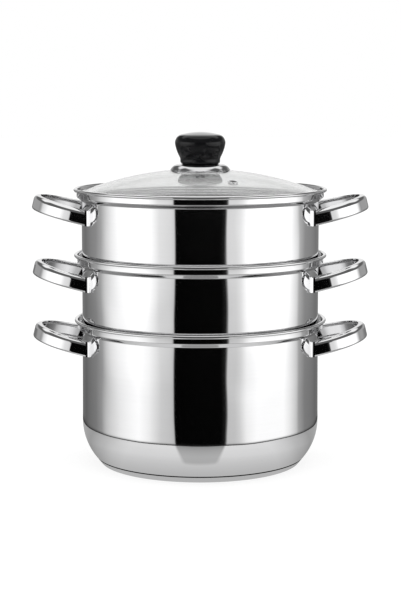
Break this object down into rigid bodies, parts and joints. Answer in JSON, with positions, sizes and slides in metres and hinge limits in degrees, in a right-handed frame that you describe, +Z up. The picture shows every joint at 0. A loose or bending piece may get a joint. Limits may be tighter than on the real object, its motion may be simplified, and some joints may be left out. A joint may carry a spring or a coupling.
{
  "type": "steamer pot",
  "caption": "Stainless steamer pot: a deep pot with two perforated steamer tiers stacked in its collar, under a domed glass lid with a knob.",
  "frame": {"origin": "centre of the base's flat underside, on the vessels' common axis", "axes": "+Z up along the vessels' axis, +X through the right-hand loop handles, -Y towards the side the picture shows"},
  "size_m": [0.3408, 0.2558, 0.337],
  "materials": {
    "polished_steel": "stainless sheet, mirror-polished outside and satin inside",
    "handle_steel": "mirror-polished stainless strap",
    "rim_steel": "polished stainless band",
    "fitting_steel": "polished stainless fittings",
    "aluminium": "plain aluminium core disc",
    "glass": "clear tempered glass",
    "black_phenolic": "glossy black heat-resistant moulding",
    "silicone": "translucent silicone",
    "brass": "turned brass"
  },
  "bodies": {
    "pot": {"pot_shell": "polished_steel", "base_core": "aluminium", "base_cap": "polished_steel", "pot_handle_right": "handle_steel", "pot_handle_left": "handle_steel"},
    "lower_steamer": {"lower_steamer_shell": "polished_steel", "lower_handle_right": "handle_steel", "lower_handle_left": "handle_steel"},
    "upper_steamer": {"upper_steamer_shell": "polished_steel", "upper_handle_right": "handle_steel", "upper_handle_left": "handle_steel"},
    "lid": {"lid_glass": "glass", "lid_rim": "rim_steel", "vent_eyelet": "fitting_steel", "knob_dish": "fitting_steel", "knob_spacer": "silicone", "knob": "black_phenolic", "knob_insert": "brass", "glass_seal": "silicone", "screw_washer": "fitting_steel", "knob_screw": "fitting_steel"}
  },
  "joints": [
    {"name": "lower_steamer_lift", "type": "slide", "parent": "pot", "child": "lower_steamer", "axis": [0, 0, 1], "range_m": [0, 0.12]},
    {"name": "upper_steamer_lift", "type": "slide", "parent": "lower_steamer", "child": "upper_steamer", "axis": [0, 0, 1], "range_m": [0, 0.12]},
    {"name": "lid_lift", "type": "slide", "parent": "upper_steamer", "child": "lid", "axis": [0, 0, 1], "range_m": [0, 0.12]}
  ]
}
